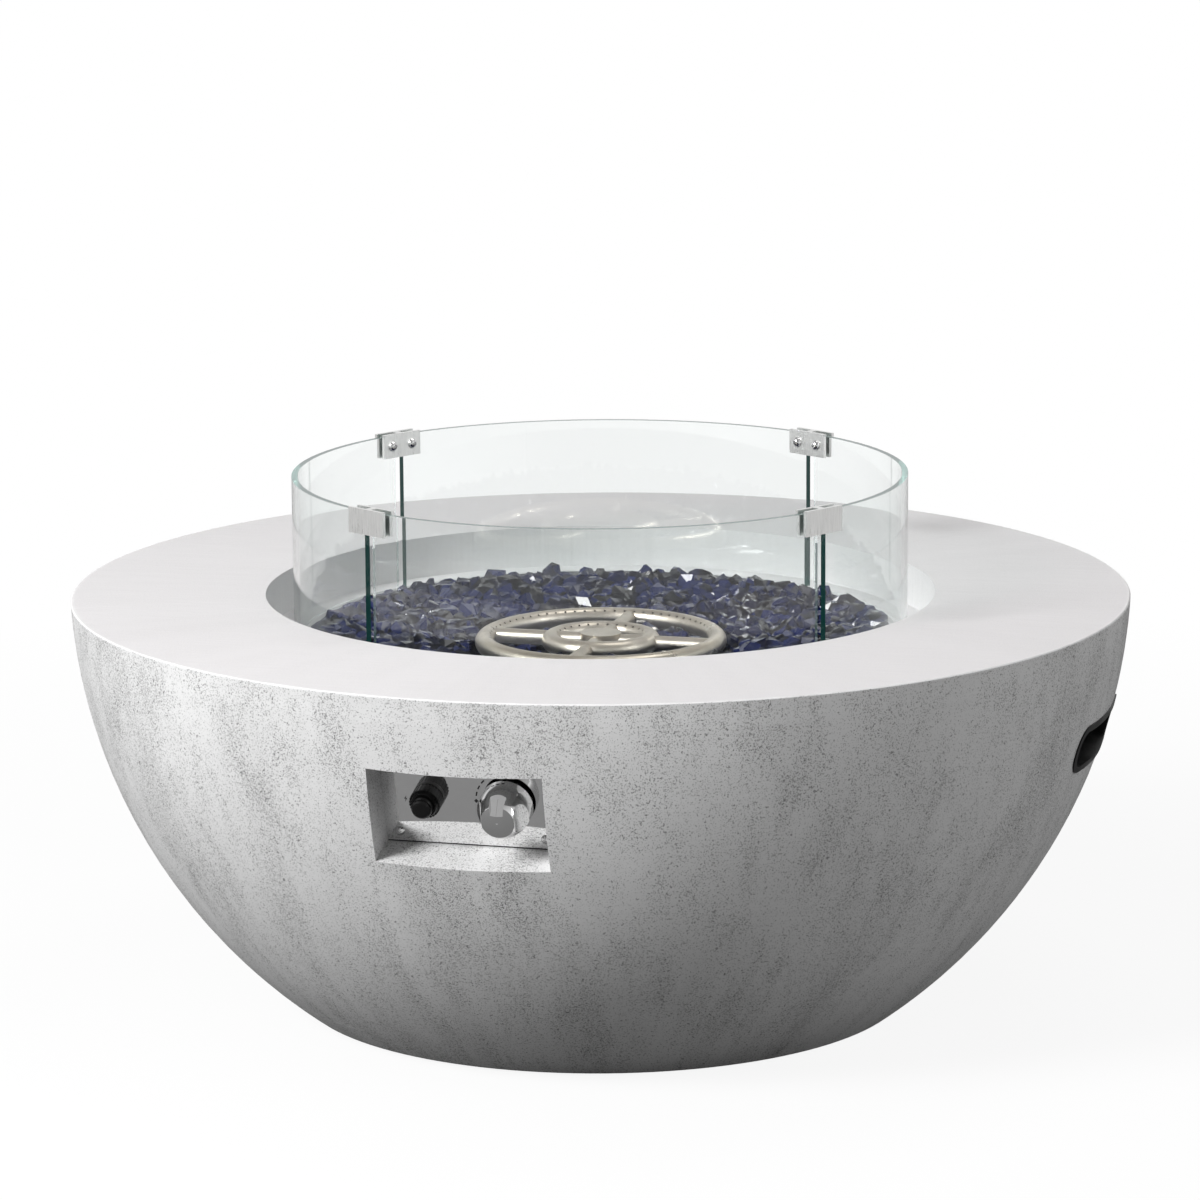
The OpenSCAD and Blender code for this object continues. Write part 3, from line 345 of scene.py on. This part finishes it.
clip_steel = brushed("clip_steel", (0.76, 0.76, 0.75), smooth=0.24, rough=0.36,
                     along=(1, 1, 0.04), scale=1400.0)
sheet_steel = brushed("sheet_steel", (0.52, 0.52, 0.52), smooth=0.28, rough=0.42,
                      along=(0.05, 1, 1), scale=500.0)
screw_steel = bright("screw_steel", (0.68, 0.68, 0.68), smooth=0.10, rough=0.20)
chrome = bright("knob_chrome", (0.74, 0.74, 0.74), smooth=0.03, rough=0.07)
mirror = bright("panel_mirror", (0.90, 0.90, 0.90), smooth=0.02, rough=0.06)
brass = bright("brass", (0.70, 0.52, 0.24), smooth=0.20, rough=0.34)
copper = bright("copper_tube", (0.72, 0.38, 0.22), smooth=0.22, rough=0.36)
dress(clip_steel, *[f"guard_clip_{i}" for i in range(1, 5)])
dress(sheet_steel, "burner_pan", "sensor_bracket", "inlet_bracket", "valve_nut")
dress(screw_steel, "clip_screws", "panel_screws", "bracket_screws", "button_spring", "cell_spring")
dress(chrome, "control_knob")
dress(mirror, "control_panel")
dress(brass, "burner_locknut", "air_mixer", "orifice_elbow", "valve_body", "valve_plug",
      "inlet_fitting", "inlet_nut")
dress(copper, "sensor_lead")

# %% [markdown]
# ## The burner
# Stainless tube that has been hot turns straw and brown near its ports. The tint could follow each
# port, but they are close together, so it follows the height on the tube: only its top gets so hot.

# %% Heat-tinted tube
BURNER_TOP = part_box("burner")[1].z
PLAIN_STEEL = (0.46, 0.46, 0.46)
STRAW_STEEL = (0.44, 0.39, 0.32)
DARK_STEEL = (0.26, 0.25, 0.26)

heated, shader, place = new_finish("heated_steel", (0.5, 0.48, 0.45), 0.3, 1.0)
_, _, z = axes(place)
patches = noise(place, 30.0, 4.0, 0.6)
heat = between(z + patches * 0.012, BURNER_TOP - 0.012, BURNER_TOP + 0.004)
tint = mix(heat, PLAIN_STEEL, STRAW_STEEL)
feed(shader, "Base Color", mix(between(patches, 0.45, 0.75, 0, 0.4), tint, DARK_STEEL))
feed(shader, "Roughness", between(patches, 0.3, 0.7, 0.26, 0.46))
bump(shader, noise(place, 400.0, 3.0), 0.15, 0.0002)
dress(heated, "burner", "valve_spindle", "flame_sensor")

# %% [markdown]
# ## Small inner pieces
# The cell, the ceramic of the spark electrode, the ignition wire and the rubber hoses are hidden in
# use, but they show from below and when the part is taken apart, so each has its own finish.

# %% Cell, ceramic, wires and hoses
cell_wrap = moulded("cell_wrap", (0.03, 0.20, 0.09), smooth=0.22, rough=0.34,
                    grain=700.0, depth=0.0001)
ceramic = moulded("electrode_ceramic", (0.74, 0.70, 0.62), smooth=0.22, rough=0.38,
                  grain=400.0, depth=0.0002)
silicone = moulded("wire_silicone", (0.30, 0.03, 0.02), smooth=0.40, rough=0.55,
                   grain=700.0, depth=0.0002)
hose_rubber = moulded("hose_rubber", (0.03, 0.03, 0.03), smooth=0.50, rough=0.70,
                      grain=700.0, depth=0.0004)
dress(cell_wrap, "igniter_cell")
dress(ceramic, "spark_electrode")
dress(silicone, "igniter_wire")
dress(hose_rubber, "burner_hose", "inlet_hose")

# %% [markdown]
# ## Wind guard glass
# The panels are clear tempered glass, 6 mm thick. Seen flat on they are nearly invisible, and their
# cut edges are dark green, because light there has run a long way inside the glass. The shader is
# smooth glass, tinted only where the surface faces up, down or along the ring, and a faint green
# emission there keeps the cut edges from going black. Lamps would throw a black shadow behind it,
# so light from lamps, and light on its way between matt surfaces, passes through a Transparent
# shader instead.

# %% Clear glass with green edges
PANE_TINT = (0.945, 0.965, 0.960)
CUT_TINT = (0.36, 0.64, 0.57)
CUT_GLOW = (0.006, 0.032, 0.029)
SHADOW_TINT = (0.93, 0.95, 0.945)
FACING = 0.6

glass, shader, place = new_finish("guard_glass", (0.97, 0.985, 0.98), 0.0, Transmission_Weight=1.0,
                                  IOR=1.5)
x, y, _ = axes(place)
facing = Wire(glass.node_tree.nodes.new("ShaderNodeNewGeometry").outputs["Normal"])
nx, ny, nz = axes(facing)
cut_end = abs(x * ny - y * nx) / distance(x, y) > FACING
cut_rim = abs(nz) > FACING
cut = place.math("MAXIMUM", cut_end, cut_rim)
feed(shader, "Base Color", mix(cut, PANE_TINT, CUT_TINT))
shader.inputs["Emission Strength"].default_value = 1.0
feed(shader, "Emission Color", mix(cut, (0, 0, 0), CUT_GLOW))
tree = glass.node_tree
path = tree.nodes.new("ShaderNodeLightPath")
clear = tree.nodes.new("ShaderNodeBsdfTransparent")
clear.inputs["Color"].default_value = (*SHADOW_TINT, 1)
pane = shader
for ray in ("Is Shadow Ray", "Is Diffuse Ray"):
    switch = tree.nodes.new("ShaderNodeMixShader")
    tree.links.new(path.outputs[ray], switch.inputs[0])
    tree.links.new(pane.outputs[0], switch.inputs[1])
    tree.links.new(clear.outputs[0], switch.inputs[2])
    pane = switch
tree.links.new(pane.outputs[0], tree.nodes["Material Output"].inputs["Surface"])
dress(glass, *[f"glass_panel_{i}" for i in range(1, 5)])

# %% [markdown]
# ## Fire glass
# The bed is broken cobalt glass in lumps of 15 to 30 mm, heaped in a ring that rises towards the
# wind guard and leaves the burner's top free. One lump is modelled from a cube: its edges are
# bevelled to make chips, and its corners are pushed about. Six such lumps are copied over the bed
# by a spiral, which spreads points evenly over a disc without rows that the eye would pick out.

# %% The lump finish
DARK_COBALT = (0.0015, 0.002, 0.006)
BRIGHT_COBALT = (0.005, 0.012, 0.075)

lump_glass, shader, place = new_finish("cobalt_glass", (0.01, 0.02, 0.1), 0.05, IOR=1.5,
                                       Specular_IOR_Level=0.28, Transmission_Weight=0.12)
cells = place.node("ShaderNodeTexVoronoi", {}, {"Vector": place, "Scale": 55.0}, output=1)
shade, _, _ = axes(cells)
feed(shader, "Base Color", mix(between(shade, 0.2, 0.9), DARK_COBALT, BRIGHT_COBALT))
feed(shader, "Roughness", between(noise(place, 120.0, 3.0), 0.4, 0.7, 0.03, 0.12))
print(lump_glass.name, "has", len(lump_glass.node_tree.nodes), "nodes")

# %% One lump
LUMP_KINDS = 6
LUMP_SIZE = 0.020
CHIP_SHARE = 0.24
PUSH_SHARE = 0.13


def deselect():
    """Operators act on all that is selected, so each piece starts from nothing selected."""
    bpy.ops.object.select_all(action="DESELECT")


def lump_shape(seed, size):
    """A chipped lump of glass of about that size, at the origin."""
    draw = random.Random(seed)
    deselect()
    bpy.ops.mesh.primitive_cube_add(size=size)
    lump = bpy.context.object
    bpy.ops.object.mode_set(mode="EDIT")
    bpy.ops.mesh.select_all(action="SELECT")
    bpy.ops.mesh.bevel(offset=size * CHIP_SHARE, offset_pct=0, segments=1, affect="EDGES")
    bpy.ops.object.mode_set(mode="OBJECT")
    for vertex in lump.data.vertices:
        vertex.co += Vector([draw.uniform(-PUSH_SHARE, PUSH_SHARE) * size for _ in range(3)])
    length, width, height = draw.uniform(0.9, 1.3), draw.uniform(0.7, 1), draw.uniform(0.6, 0.9)
    lump.data.transform(Matrix.Diagonal((length, width, height, 1)))
    return lump


lumps = [lump_shape(seed, LUMP_SIZE) for seed in range(LUMP_KINDS)]
print("a lump has", len(lumps[0].data.polygons), "faces")

# %% Where the lumps lie
BED_R = 0.296
OUTER_RING_R = 0.118
INNER_RING_R = 0.0505
TUBE_R = 0.0095
HUB_R = 0.021
HEAP_LOW = BURNER_TOP - 0.0185
HEAP_RISE = 0.023
SPOKE_SHARE = 0.8
PROBE_BOX = ((-0.027, -0.157), (0.027, -0.130))


def heap_height(r):
    """Height of the bed at a distance from the middle."""
    share = max(0.0, (r - OUTER_RING_R) / (BED_R - OUTER_RING_R))
    return HEAP_LOW + HEAP_RISE * share ** 1.3


def is_free(spot, room):
    """True where a lump would lie clear of the burner and of the probes' bracket."""
    r = spot.length
    (x0, y0), (x1, y1) = PROBE_BOX
    in_box = x0 - room < spot.x < x1 + room and y0 - room < spot.y < y1 + room
    on_ring = min(abs(r - OUTER_RING_R), abs(r - INNER_RING_R)) < TUBE_R + room
    on_spoke = r < OUTER_RING_R and min(abs(spot.x), abs(spot.y)) < SPOKE_SHARE * TUBE_R + room
    return r > HUB_R + room and r < BED_R - room and not (in_box or on_ring or on_spoke)


def spiral(count, radius):
    """Points spread evenly over a disc."""
    golden = math.pi * (3 - math.sqrt(5))
    for i in range(count):
        r = radius * math.sqrt((i + 0.5) / count)
        yield Vector((r * math.cos(i * golden), r * math.sin(i * golden)))


print("the bed rises from", heap_height(OUTER_RING_R), "to", heap_height(BED_R))

# %% Laying the bed
DRIFT = 0.003


def lay(name, count, room, sink, seed):
    """One layer of lumps as one piece. room keeps them off the burner, and sink lowers them."""
    draw = random.Random(seed)
    laid = []
    for spot in spiral(count, BED_R):
        spot = spot + Vector((draw.uniform(-DRIFT, DRIFT), draw.uniform(-DRIFT, DRIFT)))
        if not is_free(spot, room):
            continue
        lump = draw.choice(lumps)
        copy = bpy.data.objects.new(name, lump.data.copy())
        angle = draw.uniform(0, math.tau)
        turn = Matrix.Rotation(angle, 4, Vector([draw.gauss(0, 1) for _ in range(3)]))
        height = heap_height(spot.length) - sink + draw.uniform(-0.002, 0.003)
        move = Matrix.Translation((spot.x, spot.y, height))
        copy.data.transform(move @ turn @ Matrix.Scale(draw.uniform(0.8, 1.15), 4))
        bpy.context.scene.collection.objects.link(copy)
        laid.append(copy)
    deselect()
    for copy in laid:
        copy.select_set(True)
    bpy.context.view_layer.objects.active = laid[0]
    bpy.ops.object.join()
    layer = bpy.context.object
    layer.name = name
    layer.data.materials.append(lump_glass)
    print(name, len(laid), "lumps,", len(layer.data.polygons), "faces")
    return layer


bed_top = lay("fire_glass_top", count=1150, room=0.009, sink=0.003, seed=1)
bed_low = lay("fire_glass_low", count=1000, room=0.007, sink=0.014, seed=2)
for lump in lumps:
    bpy.data.objects.remove(lump)

# %% [markdown]
# Under the lumps that show, the heap goes on down to the pan. Nobody sees those lumps apart, so one
# turned body stands for them. It is drawn as a profile and spun, as on a lathe.

# %% The heap underneath
PAN_FLOOR = 0.3185
FLANGE_TOP = 0.3795
SKIRT_TOP = 0.3805
HEAP_R = 0.274
SKIRT_R = BED_R - 0.004
HEAP_HOLE_R = 0.024
HEAP_MIDDLE = 0.352


def spun(name, profile, steps):
    """A closed ring turned about the z axis from a closed profile of (radius, height) points."""
    mesh = bpy.data.meshes.new(name)
    last = len(profile) - 1
    edges = [(i, i + 1) for i in range(last)] + [(last, 0)]
    mesh.from_pydata([(r, 0, h) for r, h in profile], edges, [])
    body = bpy.data.objects.new(name, mesh)
    bpy.context.scene.collection.objects.link(body)
    deselect()
    body.select_set(True)
    bpy.context.view_layer.objects.active = body
    bpy.ops.object.mode_set(mode="EDIT")
    bpy.ops.mesh.select_all(action="SELECT")
    bpy.ops.mesh.spin(steps=steps, angle=math.tau, center=(0, 0, 0), axis=(0, 0, 1))
    bpy.ops.mesh.select_all(action="SELECT")
    bpy.ops.mesh.remove_doubles(threshold=0.00001)
    bpy.ops.mesh.normals_make_consistent(inside=False)
    bpy.ops.object.mode_set(mode="OBJECT")
    return body


heap = spun("fire_glass_heap", [
    (HEAP_HOLE_R, PAN_FLOOR), (HEAP_R, PAN_FLOOR), (HEAP_R, FLANGE_TOP), (SKIRT_R, SKIRT_TOP),
    (SKIRT_R, heap_height(BED_R) - 0.014), (0.22, heap_height(0.22) - 0.016),
    (0.145, heap_height(0.145) - 0.014), (0.132, HEAP_MIDDLE), (HEAP_HOLE_R, HEAP_MIDDLE)],
    steps=96)
print(heap.name, len(heap.data.polygons), "faces")
heap.data.materials.append(lump_glass)
for piece in (bed_top, bed_low, heap):
    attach(piece, "bowl")
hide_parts("fire_glass")

# %% [markdown]
# ## Marks on the control panel
# Round the knob, a diamond marks the low setting and short dashes run up from it towards the full
# one. A small lightning bolt stands beside the igniter. A dark line along the lower edge is painted
# shade: it stands for the shadow in the open joint there. Each is a sliver on the sheet, the print
# in ink and the shade line in the same black. The panel leans with the bowl's wall, so they are
# drawn flat and then carried there by one matrix.

# %% Ink slivers and a painted shade line
PANEL_PLACE = Vector((0, -0.513454, 0.299))
PANEL_LEAN = math.radians(15.737)
PANEL_DEPTH = 0.047
KNOB_X = 0.038
MARK_R = 0.031
MARK_HALF = 0.0022
DASH_HALF_T = 0.0007
DASH_ANGLES = range(166, 90, -14)
LOW_ANGLE = 180
BOLT_PLACE = (-0.0622, -0.002)
MM = 0.001
# The joint line is painted shade: a dark strip for the shadow in the open joint below the sheet.
JOINT_SHADE_X = 0.0838
JOINT_SHADE_LOW = -0.0484
JOINT_SHADE_TOP = -0.0471
MARK_T = 0.00012

to_panel = (Matrix.Translation(PANEL_PLACE) @ Matrix.Rotation(math.radians(90) + PANEL_LEAN, 4, "X")
            @ Matrix.Translation((0, 0, -PANEL_DEPTH)))


def flat_mark(name, outline):
    """A printed mark, or the painted shade line of the joint, with that outline, in metres on the
    panel.
    """
    mesh = bpy.data.meshes.new(name)
    mesh.from_pydata([(px, py, 0) for px, py in outline], [], [range(len(outline))])
    mark = bpy.data.objects.new(name, mesh)
    bpy.context.scene.collection.objects.link(mark)
    deselect()
    mark.select_set(True)
    bpy.context.view_layer.objects.active = mark
    bpy.ops.object.mode_set(mode="EDIT")
    bpy.ops.mesh.select_all(action="SELECT")
    bpy.ops.mesh.extrude_region_move(TRANSFORM_OT_translate={"value": (0, 0, MARK_T)})
    bpy.ops.mesh.select_all(action="SELECT")
    bpy.ops.mesh.normals_make_consistent(inside=False)
    bpy.ops.object.mode_set(mode="OBJECT")
    return mark


def round_knob(degrees, out, across):
    """A point at a clock angle round the knob: out from the dial's circle and across it."""
    a = math.radians(degrees)
    r = MARK_R + out
    return (KNOB_X + r * math.cos(a) - across * math.sin(a), r * math.sin(a) + across * math.cos(a))


DIAMOND = ((-MARK_HALF, 0), (0, -MARK_HALF), (MARK_HALF, 0), (0, MARK_HALF))
DASH = ((-DASH_HALF_T, -MARK_HALF), (DASH_HALF_T, -MARK_HALF),
        (DASH_HALF_T, MARK_HALF), (-DASH_HALF_T, MARK_HALF))
BOLT_MM = ((1.2, 3.6), (-1.6, -0.2), (0.1, 0.1), (-1.0, -3.6), (1.7, 0.9), (0.2, 0.7))
JOINT_SHADE = ((-JOINT_SHADE_X, JOINT_SHADE_LOW), (JOINT_SHADE_X, JOINT_SHADE_LOW), (JOINT_SHADE_X, JOINT_SHADE_TOP), (-JOINT_SHADE_X, JOINT_SHADE_TOP))

marks = [flat_mark("mark_low", [round_knob(LOW_ANGLE, *point) for point in DIAMOND])]
for degrees in DASH_ANGLES:
    marks.append(flat_mark(f"mark_dash_{degrees}", [round_knob(degrees, *point) for point in DASH]))
bolt = [(BOLT_PLACE[0] + bx * MM, BOLT_PLACE[1] + by * MM) for bx, by in BOLT_MM]
marks.append(flat_mark("mark_bolt", bolt))
# The joint line is painted shade, not print.
marks.append(flat_mark("mark_joint_shade", JOINT_SHADE))
print(len(marks), "marks drawn flat")

# %% The marks on the panel
# One black serves both the print and the painted shade line of the joint.
print_and_shade_ink = moulded("print_and_shade_ink", (0.012, 0.012, 0.012), smooth=0.4, rough=0.5,
                    grain=800.0, depth=0.00005)
deselect()
for mark in marks:
    mark.select_set(True)
bpy.context.view_layer.objects.active = marks[0]
bpy.ops.object.join()
panel_marks = bpy.context.object
panel_marks.name = "panel_marks"
panel_marks.data.transform(to_panel)
panel_marks.data.materials.append(print_and_shade_ink)
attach(panel_marks, "bowl")
print("panel marks:", len(panel_marks.data.polygons), "faces")

# %% [markdown]
# ## Studio
# The floor is plain and pale. Three soft lamps light the bowl: a strong one on the left, a weak one
# overhead and a weak one on the right. They decide the look of the concrete: lit from the left, the
# bowl turns from pale to mid grey across the picture. A brighter room would give a white background
# too, but it would bleach the bowl. So the room and the floor are white to the camera, greyer in
# mirrors, and add little to the light on the bowl.

# %% Rays that see the background
def rays(tree):
    """Two wires that are 1 on rays from the camera, also through glass, and on mirrored rays."""
    path = tree.nodes.new("ShaderNodeLightPath")
    camera_ray = Wire(path.outputs["Is Camera Ray"])
    through = Wire(path.outputs["Is Transmission Ray"])
    return camera_ray.math("MAXIMUM", camera_ray, through), Wire(path.outputs["Is Glossy Ray"])


# %% Floor
FLOOR_SIZE = 40
FLOOR_GREY = (0.8, 0.8, 0.8)
FLOOR_GLOW = 0.9
GLOW_FADE = (0.8, 2.0)
FLOOR_IN_MIRROR = (0.10, 0.85)
MIRROR_FADE = (1.3, 4.6)
FLOOR_BOUNCE = 0.09
bpy.ops.mesh.primitive_plane_add(size=FLOOR_SIZE)
floor = bpy.context.object
floor.name = "floor"
floor_finish, shader, place = new_finish("studio_floor", FLOOR_GREY, 0.9)
tree = floor_finish.node_tree
x, y, _ = axes(place)
radius = distance(x, y)
far = between(radius, *GLOW_FADE, FLOOR_GLOW, 1.0)
seen, glossy = rays(tree)
mirrored = glossy * between(radius, *MIRROR_FADE, *FLOOR_IN_MIRROR)
feed(shader, "Base Color", mix(seen, (FLOOR_BOUNCE,) * 3, FLOOR_GREY))
glow = tree.nodes.new("ShaderNodeEmission")
blend = tree.nodes.new("ShaderNodeMixShader")
tree.links.new(seen.math("MAXIMUM", seen * far, mirrored).socket, blend.inputs[0])
tree.links.new(shader.outputs[0], blend.inputs[1])
tree.links.new(glow.outputs[0], blend.inputs[2])
tree.links.new(blend.outputs[0], tree.nodes["Material Output"].inputs["Surface"])
floor.data.materials.append(floor_finish)
print(floor.name, FLOOR_SIZE, "m wide")

# %% Room
ROOM_LIGHT = 0.20
FRONT_IN_MIRROR = 0.35
CEILING_IN_MIRROR = 0.5

world = bpy.data.worlds.new("studio")
bpy.context.scene.world = world
world.use_nodes = True
tree = world.node_tree
towards = Wire(tree.nodes.new("ShaderNodeTexCoord").outputs["Generated"])
tx, ty, tz = axes(towards)
front = between(ty + abs(tx) * 0.9 + tz * 0.6, -0.6, 0.2, FRONT_IN_MIRROR, 1.0)
front = front * between(tz, 0.25, 0.8, 1.0, CEILING_IN_MIRROR)
seen, glossy = rays(tree)
strength = seen.math("MAXIMUM", seen.math("MAXIMUM", seen, glossy * front), ROOM_LIGHT)
background = tree.nodes["Background"]
background.inputs["Color"].default_value = (1, 1, 1, 1)
tree.links.new(strength.socket, background.inputs["Strength"])
print(world.name, "lights with", ROOM_LIGHT)


# %% Lamps
def soft_lamp(name, place, aim, size, watts):
    """A square lamp of that size in metres, turned towards a point."""
    data = bpy.data.lights.new(name, "AREA")
    data.size = size
    data.energy = watts
    lamp = bpy.data.objects.new(name, data)
    lamp.location = place
    lamp.rotation_euler = (Vector(aim) - Vector(place)).to_track_quat("-Z", "Y").to_euler()
    bpy.context.scene.collection.objects.link(lamp)
    print(name, size, "m,", watts, "W")


soft_lamp("key_left", place=(-2.5, -3.25, 2.8), aim=(0, 0, 0.25), size=1.6, watts=305)
soft_lamp("overhead", place=(0.7, 0.8, 3.6), aim=(0.2, 0.2, 0.4), size=1.6, watts=26)
soft_lamp("fill_right", place=(4.9, -0.9, 2.1), aim=(0, 0, 0.3), size=2.5, watts=78)
